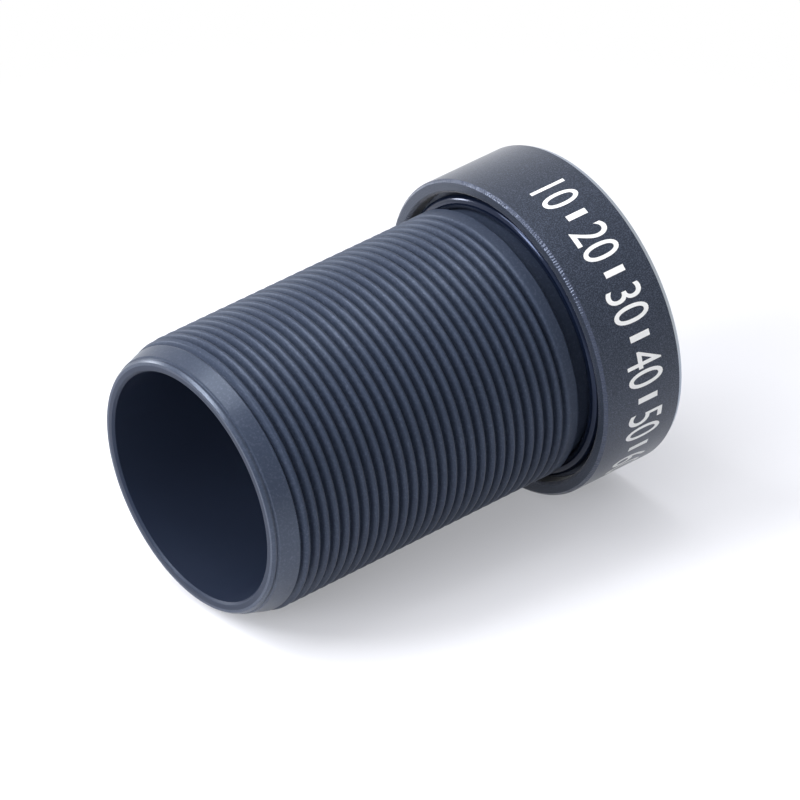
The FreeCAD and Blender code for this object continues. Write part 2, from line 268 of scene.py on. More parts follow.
@dataclass(frozen=True)
class BlastedAnodising(Finish):
    """Black anodised aluminium, bead blasted: matt, with the fine sparkle of small dents.

    The beads leave dents of about 0.05 mm, drawn at that size. The edges were broken with a cutter
    after the blasting, so they are smooth and catch the light, and the cutter left short marks across
    them, about 0.12 mm apart and unevenly so. Their paler colour is a painted highlight. The front
    edge was cut after the anodising and is bare, bright metal.
    """

    dent: float = 0.05 * MM
    dent_depth: float = 0.005 * MM
    speck_colour: str = "5c6276"
    speck_from: float = 0.45
    speck_full: float = 0.75
    speck_share: float = 0.6
    cut_colour: str = "363c4b"
    bare_colour: str = "a4a9ad"
    cut_roughness: float = 0.2
    chatter_marks: float = 330.0
    chatter_depth: float = 0.008 * MM
    chatter_drift: float = 14.0
    drift_size: float = 0.5 * MM
    sheen: float = 0.2
    sheen_roughness: float = 0.4

    def add_detail(self, shader: Node, place: NodeSocket) -> None:
        """Adds dents with paler floors, and smooth edges with marks and a painted highlight.

        Args:
            shader: the material's Principled shader.
            place: the socket with the object coordinates.
        """
        add = partial(add_node, shader.id_data)
        cut, bare = (
            add("ShaderNodeAttribute", attribute_name=name).outputs["Fac"]
            for name in (CUT_EDGE, BARE_EDGE)
        )
        uncut = add(MATH, {0: 1.0, 1: cut}, operation="SUBTRACT")
        dents = add(NOISE, {"Vector": place, "Scale": 1 / self.dent, "Detail": 2.0, "Roughness": 0.6})
        blasted = add(
            "ShaderNodeBump", {"Height": dents, "Distance": self.dent_depth, "Strength": uncut}
        )

        # The cutter's marks: a wave round the axis, whose phase drifts from place to place.
        axes = add("ShaderNodeSeparateXYZ", {0: place}).outputs
        angle = add(MATH, {0: axes[1], 1: axes[0]}, operation="ARCTAN2")
        turns = add(MATH, {0: angle, 1: self.chatter_marks}, operation="MULTIPLY")
        uneven = add(NOISE, {"Vector": place, "Scale": 1 / self.drift_size})
        drift = add(MATH, {0: uneven, 1: self.chatter_drift, 2: turns}, operation="MULTIPLY_ADD")
        wave = add(MATH, {0: drift}, operation="SINE")
        marks = add(
            "ShaderNodeBump",
            {"Height": wave, "Distance": self.chatter_depth, "Strength": cut, "Normal": blasted},
        )

        specks = add(
            MAP_RANGE,
            {
                "Value": dents,
                "From Min": self.speck_from,
                "From Max": self.speck_full,
                "To Max": self.speck_share,
            },
        )
        # Painted highlight: the broken edges take a paler colour; the bare front edge goes on top.
        layers = ((specks, self.speck_colour), (cut, self.cut_colour), (bare, self.bare_colour))
        colour = linear(self.colour)
        for share, over in layers:
            mixed = {"Factor": share, "A": colour, "B": linear(over)}
            colour = add("ShaderNodeMix", mixed, data_type="RGBA")
        metal, gloss = (
            add(MAP_RANGE, {"Value": share, "To Min": plain, "To Max": edge})
            for share, plain, edge in (
                (bare, self.metallic, 1.0),
                (cut, self.roughness, self.cut_roughness),
            )
        )
        detail = {
            "Base Color": colour,
            "Roughness": gloss,
            "Metallic": metal,
            "Normal": marks,
            "Sheen Weight": self.sheen,
            "Sheen Roughness": self.sheen_roughness,
        }
        feed(shader, detail)


@dataclass(frozen=True)
class GrainedFinish(Finish):
    """A moulded or matt anodised surface: even, with a fine grain that breaks its gloss."""

    grain: float = 0.08 * MM
    grain_depth: float = 0.001 * MM
    roughness_change: float = 0.12

    def add_detail(self, shader: Node, place: NodeSocket) -> None:
        """Adds the grain to the height and to the roughness.

        Args:
            shader: the material's Principled shader.
            place: the socket with the object coordinates.
        """
        add = partial(add_node, shader.id_data)
        grain = add(NOISE, {"Vector": place, "Scale": 1 / self.grain, "Detail": 3.0})
        bump = add("ShaderNodeBump", {"Height": grain, "Distance": self.grain_depth, "Strength": 1.0})
        uneven = add(
            MAP_RANGE,
            {
                "Value": grain,
                "To Min": self.roughness - self.roughness_change,
                "To Max": self.roughness + self.roughness_change,
            },
        )
        feed(shader, {"Roughness": uneven, "Normal": bump})


@dataclass(frozen=True)
class LaserMark(Finish):
    """Laser marking: the beam bleaches the dyed oxide to a chalky white, a little patchy.

    The beam's passes are about 0.04 mm apart, drawn at that size, and leave greyer spots between them.
    """

    pass_spacing: float = 0.04 * MM
    patch_colour: str = "e0e0de"
    burn_depth: float = 0.002 * MM

    def add_detail(self, shader: Node, place: NodeSocket) -> None:
        """Adds the patches to the colour and to the height.

        Args:
            shader: the material's Principled shader.
            place: the socket with the object coordinates.
        """
        add = partial(add_node, shader.id_data)
        patches = add(NOISE, {"Vector": place, "Scale": 1 / self.pass_spacing, "Detail": 3.0})
        mixed = {"Factor": patches, "A": linear(self.colour), "B": linear(self.patch_colour)}
        tint = add("ShaderNodeMix", mixed, data_type="RGBA")
        bump = add(
            "ShaderNodeBump", {"Height": patches, "Distance": self.burn_depth, "Strength": 1.0}
        )
        feed(shader, {"Base Color": tint, "Normal": bump})


@dataclass(frozen=True)
class CoatedGlass(Finish):
    """Polished optical glass with an anti-reflection coating, so its reflections are tinted."""

    index: float = 1.62

    def add_detail(self, shader: Node, place: NodeSocket) -> None:
        """Makes the shader clear. Polished glass has no grain.

        Args:
            shader: the material's Principled shader.
            place: the socket with the object coordinates, which a clear glass doesn't need.
        """
        feed(shader, {"Transmission Weight": 1.0, "IOR": self.index})


TURNED = TurnedAnodising("anodised_aluminium_turned", "2b3343", 0.43, 0.15, 0.32, "e4eefa")
BLASTED = BlastedAnodising("anodised_aluminium_blasted", "18202b", 0.32, 0.2, 0.5, "dee8fc")
MATT = GrainedFinish("anodised_aluminium_matt", "1c1f27", 0.6, 0.2)

# Moulded nitrile rubber is nearly black and glossy, with a faint swell of about 0.15 mm.
RUBBER = GrainedFinish(
    "nitrile_rubber_moulded",
    "0c1220",
    0.15,
    gleam="b4c4ee",
    grain=0.15 * MM,
    grain_depth=0.0004 * MM,
    roughness_change=0.04,
)
INK = LaserMark("laser_mark_white", "f3f3f1", 0.55)

# The coatings shine blue in front, violet and green inside, and red on the pale cyan filter.
FRONT_GLASS = CoatedGlass("optical_glass_front", "f4f8fb", 0.0, gleam="8fb4ff")
CROWN_GLASS = CoatedGlass("optical_glass_crown", "f4f8fb", 0.0, gleam="c9a0ff")
FLINT_GLASS = CoatedGlass("optical_glass_flint", "f4f8fb", 0.0, gleam="9fe0c8", index=1.74)
FILTER_GLASS = CoatedGlass("filter_glass_coated", "bfe3e6", 0.0, gleam="ff7a8c", index=1.52)


@dataclass(frozen=True)
class Corner:
    """A corner of a turned outline, in millimetres: its radius, its height and its rounding."""

    radius: float
    height: float
    rounding: float = 0.0


def rounded_outline(corners: tuple[Corner, ...]) -> list[tuple[float, float]]:
    """Replaces every rounded corner of a closed outline by an arc.

    Args:
        corners: the corners in order.

    Returns:
        Points of radius and height, in millimetres.
    """
    points: list[tuple[float, float]] = []
    count = len(corners)
    for number, corner in enumerate(corners):
        here = Vector((corner.radius, corner.height))
        if not corner.rounding:
            points.append(tuple(here))
            continue
        before, after = corners[number - 1], corners[(number + 1) % count]
        back = (Vector((before.radius, before.height)) - here).normalized()
        on = (Vector((after.radius, after.height)) - here).normalized()
        half_angle = back.angle(on) / 2
        reach = corner.rounding / math.tan(half_angle)
        centre = here + (back + on).normalized() * corner.rounding / math.sin(half_angle)
        start, end = here + back * reach - centre, here + on * reach - centre
        sweep = start.angle(end)
        for step in range(ARC_SIDES + 1):
            share = step / ARC_SIDES
            spoke = start * math.sin((1 - share) * sweep) + end * math.sin(share * sweep)
            points.append(tuple(centre + spoke / math.sin(sweep)))
    return points


def lathe(points: list[tuple[float, float]], segments: int, closed: bool = True) -> BMesh:
    """Turns an outline about the Z axis.

    Args:
        points: radius and height of each point, in millimetres.
        segments: how many sides a full turn has.
        closed: whether the last point joins the first.

    Returns:
        The mesh, in metres.
    """
    mesh = bmesh.new()
    rings = []
    for radius, height in points:
        if radius == 0:
            rings.append([mesh.verts.new((0, 0, height * MM))] * segments)
            continue
        ring = []
        for number in range(segments):
            angle = FULL_TURN * number / segments - math.pi
            across, deep = radius * math.cos(angle), radius * math.sin(angle)
            ring.append(mesh.verts.new((across * MM, deep * MM, height * MM)))
        rings.append(ring)
    for low, high in zip(rings, rings[1:] + rings[:1] if closed else rings[1:]):
        for number in range(segments):
            following = (number + 1) % segments
            loop = [low[number], low[following], high[following], high[number]]
            corners = list(dict.fromkeys(loop))
            if len(corners) > 2:
                mesh.faces.new(corners)
    return mesh


def add_object(name: str, data: bpy.types.ID) -> Object:
    """Adds an object to the scene.

    Args:
        name: its name.
        data: its mesh, lamp or camera.

    Returns:
        The object, at the origin.
    """
    thing = bpy.data.objects.new(name, data)
    bpy.context.scene.collection.objects.link(thing)
    return thing


def applied(thing: Object) -> Mesh:
    """Makes a plain mesh of an object with its modifiers applied.

    Args:
        thing: the object.

    Returns:
        The mesh.
    """
    evaluated = thing.evaluated_get(bpy.context.evaluated_depsgraph_get())
    return bpy.data.meshes.new_from_object(evaluated)


def new_piece(name: str, mesh: BMesh) -> Object:
    """Makes an object of a mesh, shaded smooth except at its sharp edges.

    Args:
        name: the piece's name.
        mesh: the mesh, in metres, which is used up.

    Returns:
        The object, at the origin.
    """
    bmesh.ops.remove_doubles(mesh, verts=mesh.verts, dist=WELD)
    bmesh.ops.recalc_face_normals(mesh, faces=mesh.faces)
    data = bpy.data.meshes.new(name)
    mesh.to_mesh(data)
    mesh.free()
    data.shade_smooth()
    data.set_sharp_from_angle(angle=SHARP_EDGE)
    return add_object(name, data)


def seat(piece: Object, material: Material, node: str = "") -> None:
    """Gives a finished piece its material and its place in the frame.

    Args:
        piece: the finished piece.
        material: its material.
        node: the CAD node that it stands for, if any.
    """
    piece.data.materials.clear()
    piece.data.materials.append(material)
    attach(piece, BODY)
    if node:
        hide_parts(node)
    log.info("%s: %d faces", piece.name, len(piece.data.polygons))


def new_tree(name: str, sizes: dict[str, float | int]) -> tuple[NodeTree, Node]:
    """Makes an empty Geometry Nodes tree with a named input for each size and one geometry output.

    Args:
        name: the tree's name.
        sizes: input name to value, a whole number or a length, slope or angle.

    Returns:
        The tree and its input node.
    """
    tree = bpy.data.node_groups.new(name, "GeometryNodeTree")
    for label, value in sizes.items():
        kind = "NodeSocketInt" if isinstance(value, int) else "NodeSocketFloat"
        tree.interface.new_socket(name=label, in_out="INPUT", socket_type=kind)
    tree.interface.new_socket(name="Geometry", in_out="OUTPUT", socket_type="NodeSocketGeometry")
    return tree, add_node(tree, "NodeGroupInput")


def close_tree(geometry: Node, material: Material, smooth: bool = True) -> NodeTree:
    """Ends a Geometry Nodes tree: its shading, real instances and a material.

    Args:
        geometry: the node that makes its shape.
        material: the material of the result.
        smooth: whether its faces are shaded smooth.

    Returns:
        The finished tree.
    """
    tree = geometry.id_data
    add = partial(add_node, tree)
    shaded = add("GeometryNodeSetShadeSmooth", {"Geometry": geometry, "Shade Smooth": smooth})
    real = add("GeometryNodeRealizeInstances", {"Geometry": shaded})
    dressed = add("GeometryNodeSetMaterial", {"Geometry": real, "Material": material})
    add("NodeGroupOutput", {"Geometry": dressed})
    return tree


def run_tree(name: str, tree: NodeTree, sizes: dict[str, float | int]) -> Object:
    """Runs a Geometry Nodes tree once and keeps its result as a plain mesh.

    Args:
        name: the new object's name.
        tree: the tree.
        sizes: the value of each of its inputs, by name.

    Returns:
        The object, with no modifier left on it.
    """
    carrier = add_object(name, bpy.data.meshes.new(name))
    modifier = carrier.modifiers.new("nodes", "NODES")
    modifier.node_group = tree
    for item in tree.interface.items_tree:
        if item.item_type == "SOCKET" and item.in_out == "INPUT":
            modifier[item.identifier] = sizes[item.name]
    data = applied(carrier)
    carrier.modifiers.clear()
    carrier.data = data
    return carrier


@dataclass
class Barrel:
    """The turned barrel: its right-hand thread, lead-in cone, open bore, lens cell and smooth neck.

    The thread is cut from run_in to run_out and fades at the head's end, over the length of fading.
    The nicks are where a noise lies between nick_from, where they begin, and nick_full.
    """

    segments: int = 168
    columns: int = 16
    pitch: float = 0.5
    crest_radius: float = 5.95
    groove_depth: float = 0.3
    nick_depth: float = 0.025
    nick_size: float = 0.22
    nick_from: float = 0.66
    nick_full: float = 0.78
    neck_radius: float = 5.6
    shoulder_front: float = 4.6
    shoulder_radius: float = 5.87
    run_out: float = 5.1
    run_in: float = 19.14
    fading: float = 0.25
    cone_front: float = 18.55
    crest_height: float = 19.798
    rim_height: float = 20.0
    rim_radius: float = 5.5
    lip_front: float = 19.88
    lip_outer: float = 5.515
    face_radius: float = 5.42
    valley_height: float = 19.75
    valley_radius: float = 5.49
    thread_rear: float = 19.71
    bore_chamfer: float = 0.1
    bore_radius: float = 5.0
    bore_floor: float = 12.6
    cell_radius: float = 4.8
    lip_radius: float = 4.4
    lip_rear: float = 2.9
    front: float = 2.2
    soft_corner: float = 0.03
    fine_corner: float = 0.015

    @property
    def cone_slope(self) -> float:
        """How fast the lead-in cone widens towards the front."""
        return (self.crest_radius - self.rim_radius) / (self.rim_height - self.cone_front)

    @property
    def thread_rear_radius(self) -> float:
        """The radius where the lead-in cone meets the fine groove in front of the rim's lip."""
        return self.rim_radius + (self.rim_height - self.thread_rear) * self.cone_slope

    def thread_sizes(self) -> dict[str, float | int]:
        """Works out the inputs of the thread tree.

        Returns:
            Input name to value: two counts, a slope, two levels of noise and lengths in metres.
        """
        step = self.pitch / self.columns
        above = math.ceil((self.crest_height - self.shoulder_front) / self.pitch + 0.5)
        lowest = self.crest_height - self.pitch * above
        rows = math.ceil((self.thread_rear + self.pitch / 2 - lowest) / step)
        lengths = {
            "Length": rows * step,
            "Middle": lowest + rows * step / 2,
            "Pitch": self.pitch,
            "Crest Radius": self.crest_radius,
            "Groove Depth": self.groove_depth,
            "Nick Depth": self.nick_depth,
            "Nick Size": self.nick_size,
            "Front": self.shoulder_front,
            "Front Radius": self.shoulder_radius,
            "Rear": self.thread_rear,
            "Rear Radius": self.thread_rear_radius,
            "Run Out": self.run_out,
            "Run In": self.run_in,
            "Fading": self.fading,
        }
        sizes = {
            "Segments": self.segments + 1,
            "Rows": rows + 1,
            "Cone Slope": self.cone_slope,
            "Nick From": self.nick_from,
            "Nick Full": self.nick_full,
        }
        return sizes | {name: length * MM for name, length in lengths.items()}

    def thread_tree(self, sizes: dict[str, float | int], material: Material) -> NodeTree:
        """Builds the tree that winds a flat grid into the threaded skin of the barrel.

        The grid's long sides run along the helix, so every flank follows it exactly. The skin is cut
        off by the shoulder's cone at the front and the lead-in cone at the rear.

        Args:
            sizes: the tree's inputs.
            material: the material of the skin.

        Returns:
            The tree.
        """
        tree, given = new_tree("screw_thread", sizes)
        add = partial(add_node, tree)
        size = given.outputs
        extent = {"Size X": 1.0, "Size Y": size["Length"]}
        counts = {"Vertices X": size["Segments"], "Vertices Y": size["Rows"]}
        grid = add("GeometryNodeMeshGrid", extent | counts)
        place = add("GeometryNodeInputPosition")
        turn, row, _ = add("ShaderNodeSeparateXYZ", {0: place}).outputs
        angle = add(MATH, {0: turn, 1: FULL_TURN}, operation="MULTIPLY")

        # Height: the row, the rise of the helix over the turn, and the two ends of the skin.
        flat = add(MATH, {0: row, 1: size["Middle"]}, operation="ADD")
        risen = add(MATH, {0: turn, 1: size["Pitch"], 2: flat}, operation="MULTIPLY_ADD")
        height = add("ShaderNodeClamp", {"Value": risen, "Min": size["Front"], "Max": size["Rear"]})

        # Groove: its profile along one pitch, repeated, and how deep it is cut at this height.
        from_end = add(MATH, {0: size["Length"], 1: 0.5, 2: row}, operation="MULTIPLY_ADD")
        turns = add(MATH, {0: from_end, 1: size["Pitch"]}, operation="DIVIDE")
        phase = add(MATH, {0: turns}, operation="FRACT")
        groove = add("ShaderNodeFloatCurve", {"Value": phase})
        self.shape_groove(groove)
        full = add(MATH, {0: size["Run Out"], 1: size["Fading"]}, operation="ADD")
        leaving = add(MAP_RANGE, {"Value": height, "From Min": size["Run Out"], "From Max": full})
        first_cut = add(MATH, {0: height, 1: size["Run In"]}, operation="LESS_THAN")
        cutting = add(MATH, {0: leaving, 1: first_cut}, operation="MULTIPLY")
        depth = add(MATH, {0: cutting, 1: size["Groove Depth"]}, operation="MULTIPLY")
        sunk = add(MATH, {0: groove, 1: depth}, operation="MULTIPLY")

        # Radius: the thread, inside the shoulder's cone and the lead-in cone.
        thread = add(MATH, {0: size["Crest Radius"], 1: sunk}, operation="SUBTRACT")
        above_front = add(MATH, {0: height, 1: size["Front"]}, operation="SUBTRACT")
        below_rear = add(MATH, {0: size["Rear"], 1: height}, operation="SUBTRACT")
        shoulder = add(MATH, {0: above_front, 1: size["Front Radius"]}, operation="ADD")
        widening = {0: below_rear, 1: size["Cone Slope"], 2: size["Rear Radius"]}
        cone = add(MATH, widening, operation="MULTIPLY_ADD")
        outline = thread
        for limit in (shoulder, cone):
            outline = add(MATH, {0: outline, 1: limit}, operation="MINIMUM")

        # Small nicks in the crests, where the noise on the wound surface is high, away from the ends.
        crest = add("ShaderNodeCombineXYZ", {0: size["Crest Radius"], 2: height})
        skin = add(
            "ShaderNodeVectorRotate", {"Vector": crest, "Angle": angle}, rotation_type="Z_AXIS"
        )
        finer = add(MATH, {0: 1.0, 1: size["Nick Size"]}, operation="DIVIDE")
        noise = add(NOISE, {"Vector": skin, "Scale": finer, "Detail": 3.0})
        nicks = {
            "Value": noise,
            "From Min": size["Nick From"],
            "From Max": size["Nick Full"],
            "To Max": size["Nick Depth"],
        }
        nick = add(MAP_RANGE, nicks)
        for limit in (above_front, below_rear):
            nick = add(MATH, {0: nick, 1: limit}, operation="MINIMUM")
        radius = add(MATH, {0: outline, 1: nick}, operation="SUBTRACT")

        # The point at that radius and height, turned about the axis.
        spoke = add("ShaderNodeCombineXYZ", {0: radius, 2: height})
        wound = add(
            "ShaderNodeVectorRotate", {"Vector": spoke, "Angle": angle}, rotation_type="Z_AXIS"
        )
        moved = add("GeometryNodeSetPosition", {"Geometry": grid, "Position": wound})
        weld = {"Geometry": moved, "Distance": WELD}
        return close_tree(add("GeometryNodeMergeByDistance", weld), material)

    def shape_groove(self, node: Node) -> None:
        """Sets the groove's depth over one pitch: a 60 degree vee between wide, rounded crests.

        Args:
            node: the Float Curve node.
        """
        curve = node.mapping.curves[0]
        flank = ((0.09, 0.04), (0.19, 0.21), (0.31, 0.54), (0.44, 0.93))
        curve.points[0].location = (0.0, 0.0)
        curve.points[1].location = (1.0, 0.0)
        curve.points.new(0.5, 1.0)
        for along, down in flank:
            curve.points.new(along, down)
            curve.points.new(1 - along, down)
        for point in curve.points:
            point.handle_type = "AUTO"
        node.mapping.update()

    def rest_of_outline(self) -> list[tuple[float, float]]:
        """Everything but the threaded stretch, from its rear end round through the bore to its front.

        Returns:
            Points of radius and height, in millimetres.
        """
        rim, chamfer, soft = self.rim_height, self.bore_chamfer, self.soft_corner
        return rounded_outline(
            (
                Corner(self.thread_rear_radius, self.thread_rear),
                Corner(self.valley_radius, self.valley_height, self.fine_corner),
                Corner(self.lip_outer, self.lip_front, soft),
                Corner(self.face_radius, rim, soft),
                Corner(self.bore_radius + chamfer, rim, soft),
                Corner(self.bore_radius, rim - chamfer, soft),
                Corner(self.bore_radius, self.bore_floor),
                Corner(self.cell_radius, self.bore_floor),
                Corner(self.cell_radius, self.lip_rear),
                Corner(self.lip_radius, self.lip_rear),
                Corner(self.lip_radius, self.front),
                Corner(self.neck_radius, self.front),
                Corner(self.neck_radius, self.shoulder_front),
                Corner(self.shoulder_radius, self.shoulder_front),
            )
        )

    def make(self, material: Material) -> None:
        """Builds the barrel as one closed solid and seats it.

        Args:
            material: its material.
        """
        sizes = self.thread_sizes()
        skin = run_tree("thread_skin", self.thread_tree(sizes, material), sizes)
        mesh = lathe(self.rest_of_outline(), self.segments, closed=False)
        mesh.from_mesh(skin.data)
        bpy.data.objects.remove(skin)
        seat(new_piece("threaded_barrel", mesh), material, "barrel")


@dataclass
class Head:
    """The bead-blasted head ring, with the gland in its rear face.

    The cutter broke the faces that slope between slope_from and slope_to, as the size of their
    normal's height. On the bare front edge its marks show at bare_marks of their strength.
    """

    segments: int = 256
    outer_radius: float = 6.996
    rear: float = 4.1
    front_chamfer: float = 0.2
    front_chamfer_depth: float = 0.1
    rear_chamfer: float = 0.12
    edge_break: float = 0.08
    gland_break: float = 0.12
    corner: float = 0.04
    bore_radius: float = 6.0
    seat_depth: float = 2.2
    neck_radius: float = 5.6
    gland_radius: float = 6.4
    gland_floor: float = 3.4
    slope_from: float = 0.25
    slope_to: float = 0.97
    bare_marks: float = 0.3

    def outline(self) -> list[tuple[float, float]]:
        """The section of the ring.

        Returns:
            Points of radius and height, in millimetres.
        """
        outer, rear, broken, fine = self.outer_radius, self.rear, self.edge_break, self.corner
        return rounded_outline(
            (
                Corner(self.neck_radius, self.seat_depth),
                Corner(self.bore_radius, self.seat_depth),
                Corner(self.bore_radius, broken, fine),
                Corner(self.bore_radius + broken, 0, fine),
                Corner(outer - self.front_chamfer_depth, 0, fine / 2),
                Corner(outer, self.front_chamfer, fine / 2),
                Corner(outer, rear - self.rear_chamfer, fine),
                Corner(outer - self.rear_chamfer, rear, fine),
                Corner(self.gland_radius + self.gland_break, rear, 2 * fine),
                Corner(self.gland_radius, rear - self.gland_break, 2 * fine),
                Corner(self.gland_radius, self.gland_floor, fine),
                Corner(self.neck_radius, self.gland_floor),
            )
        )

    def make(self, metal: Material) -> None:
        """Builds the ring, marks its broken and its bare faces and seats it.

        Args:
            metal: the ring's material.
        """
        ring = new_piece("blasted_head", lathe(self.outline(), self.segments))
        cut, bare = (
            ring.data.attributes.new(name, "FLOAT", "FACE").name for name in (CUT_EDGE, BARE_EDGE)
        )
        cut_values, bare_values = ring.data.attributes[cut].data, ring.data.attributes[bare].data
        for face in ring.data.polygons:
            broken = self.slope_from < abs(face.normal.z) < self.slope_to
            outer = face.center.to_2d().length > (self.bore_radius + self.edge_break) * MM
            bared = broken and outer and face.normal.z < 0
            cut_values[face.index].value = self.bare_marks if bared else float(broken)
            bare_values[face.index].value = float(bared)
        seat(ring, metal, "head_ring")


@dataclass
class PrintedScale:
    """The white scale round the head: plain numbers with a stroke between each two of them."""

    ring_radius: float = 6.996
    first_angle: float = -103.0
    step_angle: float = -23.3
    numbers: tuple[int, ...] = (10, 20, 30, 40, 50, 60)
    foot: float = 2.8
    digit_height: float = 1.85
    digit_squeeze: float = 0.66
    digit_steps: int = 6
    font_cap: float = 0.729
    ink_height: float = 0.004
    ink_root: float = 0.02
    slice_width: float = 0.12
    stroke_width: float = 0.27
    stroke_length: float = 1.0

    @property
    def ink_middle(self) -> float:
        """How far the middle of the ink's thickness stands out of the head's cylinder."""
        return (self.ink_height - self.ink_root) / 2

    def number_mesh(self, number: int, angle: float) -> Mesh:
        """Writes one number flat, slices it and bends it round the head.

        Args:
            number: the number.
            angle: where its middle comes, in degrees.

        Returns:
            The closed mesh of its digits, in metres.
        """
        text = bpy.data.curves.new("digits", "FONT")
        text.body = str(number)
        text.align_x = "CENTER"
        text.size = self.digit_height / self.font_cap
        text.extrude = (self.ink_height + self.ink_root) / 2
        text.resolution_u = self.digit_steps
        holder = bpy.data.objects.new("digits", text)
        data = bpy.data.meshes.new_from_object(holder)
        bpy.data.objects.remove(holder)
        mesh = bmesh.new()
        mesh.from_mesh(data)
        bmesh.ops.remove_doubles(mesh, verts=mesh.verts, dist=WELD)
        bmesh.ops.scale(mesh, vec=(self.digit_squeeze, 1, 1), verts=mesh.verts)
        reach = max(abs(vertex.co.x) for vertex in mesh.verts)
        for slice_number in range(int(2 * reach / self.slice_width)):
            cut = (slice_number + 0.5) * self.slice_width - reach
            everything = mesh.verts[:] + mesh.edges[:] + mesh.faces[:]
            bmesh.ops.bisect_plane(mesh, geom=everything, plane_co=(cut, 0, 0), plane_no=(1, 0, 0))
        for vertex in mesh.verts:
            across, up, out = vertex.co
            around = math.radians(angle) - across / self.ring_radius
            radius = self.ring_radius + self.ink_middle + out
            spot = (radius * math.cos(around), radius * math.sin(around), self.foot - up)
            vertex.co = Vector(spot) * MM
        mesh.to_mesh(data)
        mesh.free()
        return data

    def stroke_sizes(self) -> dict[str, float | int]:
        """Works out the inputs of the stroke tree.

        Returns:
            Input name to value: a count, two angles and lengths in metres.
        """
        return {
            "Count": len(self.numbers) - 1,
            "Radius": (self.ring_radius + self.ink_middle) * MM,
            "Height": (self.foot - self.digit_height / 2) * MM,
            "First Angle": math.radians(self.first_angle + self.step_angle / 2),
            "Step Angle": math.radians(self.step_angle),
            "Depth": (self.ink_height + self.ink_root) * MM,
            "Width": self.stroke_width * MM,
            "Length": self.stroke_length * MM,
        }

    def stroke_tree(self, sizes: dict[str, float | int], material: Material) -> NodeTree:
        """Builds the tree that sets one short stroke after each number but the last.

        Args:
            sizes: the tree's inputs.
            material: the ink.

        Returns:
            The tree.
        """
        tree, given = new_tree("scale_strokes", sizes)
        add = partial(add_node, tree)
        size = given.outputs
        line = add("GeometryNodeMeshLine", {"Count": size["Count"], "Offset": (0.0, 0.0, 0.0)})
        index = add("GeometryNodeInputIndex")
        steps = {0: index, 1: size["Step Angle"], 2: size["First Angle"]}
        angle = add(MATH, steps, operation="MULTIPLY_ADD")
        spoke = add("ShaderNodeCombineXYZ", {0: size["Radius"], 2: size["Height"]})
        turned = add(
            "ShaderNodeVectorRotate", {"Vector": spoke, "Angle": angle}, rotation_type="Z_AXIS"
        )
        points = add("GeometryNodeSetPosition", {"Geometry": line, "Position": turned})
        extent = add("ShaderNodeCombineXYZ", {0: size["Depth"], 1: size["Width"], 2: size["Length"]})
        stroke = add("GeometryNodeMeshCube", {"Size": extent})
        rotation = add("ShaderNodeCombineXYZ", {2: angle})
        placed = {"Points": points, "Instance": stroke, "Rotation": rotation}
        strokes = add("GeometryNodeInstanceOnPoints", placed)
        return close_tree(strokes, material, smooth=False)

    def make(self, ink: Material) -> None:
        """Prints the scale and seats it.

        Args:
            ink: the material of the print.
        """
        everything = bmesh.new()
        for place, number in enumerate(self.numbers):
            digits = self.number_mesh(number, self.first_angle + place * self.step_angle)
            everything.from_mesh(digits)
            bpy.data.meshes.remove(digits)
        sizes = self.stroke_sizes()
        strokes = run_tree("strokes", self.stroke_tree(sizes, ink), sizes)
        everything.from_mesh(strokes.data)
        bpy.data.objects.remove(strokes)
        seat(new_piece("printed_scale", everything), ink)


@dataclass
class SealingRing:
    """The rubber ring in the gland: a cord of round section on a circle."""

    neck_radius: float = 5.6
    gland_floor: float = 3.4
    ring_sides: int = 240
    cord_sides: int = 28

    def tree(self, sizes: dict[str, float | int], material: Material) -> NodeTree:
        """Builds the tree that sweeps the cord's section round the circle.

        Args:
            sizes: the tree's inputs.
            material: the rubber.

        Returns:
            The tree.
        """
        tree, given = new_tree("rubber_cord", sizes)
        add = partial(add_node, tree)
        size = given.outputs
        circle, section = (
            add(
                "GeometryNodeCurvePrimitiveCircle",
                {"Resolution": size[f"{part} Sides"], "Radius": size[f"{part} Radius"]},
            )
            for part in ("Ring", "Cord")
        )
        cord = add("GeometryNodeCurveToMesh", {"Curve": circle, "Profile Curve": section})
        lift = add("ShaderNodeCombineXYZ", {2: size["Height"]})
        lifted = add("GeometryNodeTransform", {"Geometry": cord, "Translation": lift})
        return close_tree(lifted, material)

    def make(self, material: Material) -> None:
        """Builds the ring as thick as its CAD node and seats it.

        Args:
            material: the rubber.
        """
        low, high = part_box("o_ring")
        cord_radius = (high.z - low.z) / 2
        sizes = {
            "Ring Sides": self.ring_sides,
            "Cord Sides": self.cord_sides,
            "Ring Radius": self.neck_radius * MM + cord_radius,
            "Cord Radius": cord_radius,
            "Height": self.gland_floor * MM + cord_radius,
        }
        ring = run_tree("rubber_ring", self.tree(sizes, material), sizes)
        seat(ring, material, "o_ring")


@dataclass(frozen=True)
class ThreadedRing:
    """A retaining ring: a turned section with two spanner notches cut across one end face."""

    name: str
    node: str
    corners: tuple[Corner, ...]
    notch_bottom: float
    notch_top: float
    notch_width: float = 0.8
    segments: int = 192

    def make(self, material: Material) -> None:
        """Turns the ring, cuts its notches with a bar that reaches past both sides, and seats it.

        Args:
            material: its material.
        """
        ring = new_piece("turned_ring", lathe(rounded_outline(self.corners), self.segments))
        bar = bmesh.new()
        bmesh.ops.create_cube(bar, size=1)
        reach = 3 * max(corner.radius for corner in self.corners)
        size = Vector((reach, self.notch_width, self.notch_top - self.notch_bottom)) * MM
        middle = Vector((0, 0, (self.notch_top + self.notch_bottom) / 2)) * MM
        bar.transform(Matrix.Translation(middle) @ Matrix.Diagonal(size).to_4x4())
        cutter = new_piece("notch_cutter", bar)
        cut = ring.modifiers.new("notches", "BOOLEAN")
        cut.object = cutter
        cut.operation = "DIFFERENCE"
        cut.solver = "EXACT"
        mesh = bmesh.new()
        mesh.from_mesh(applied(ring))
        for helper in (ring, cutter):
            bpy.data.objects.remove(helper)
        seat(new_piece(self.name, mesh), material, self.node)


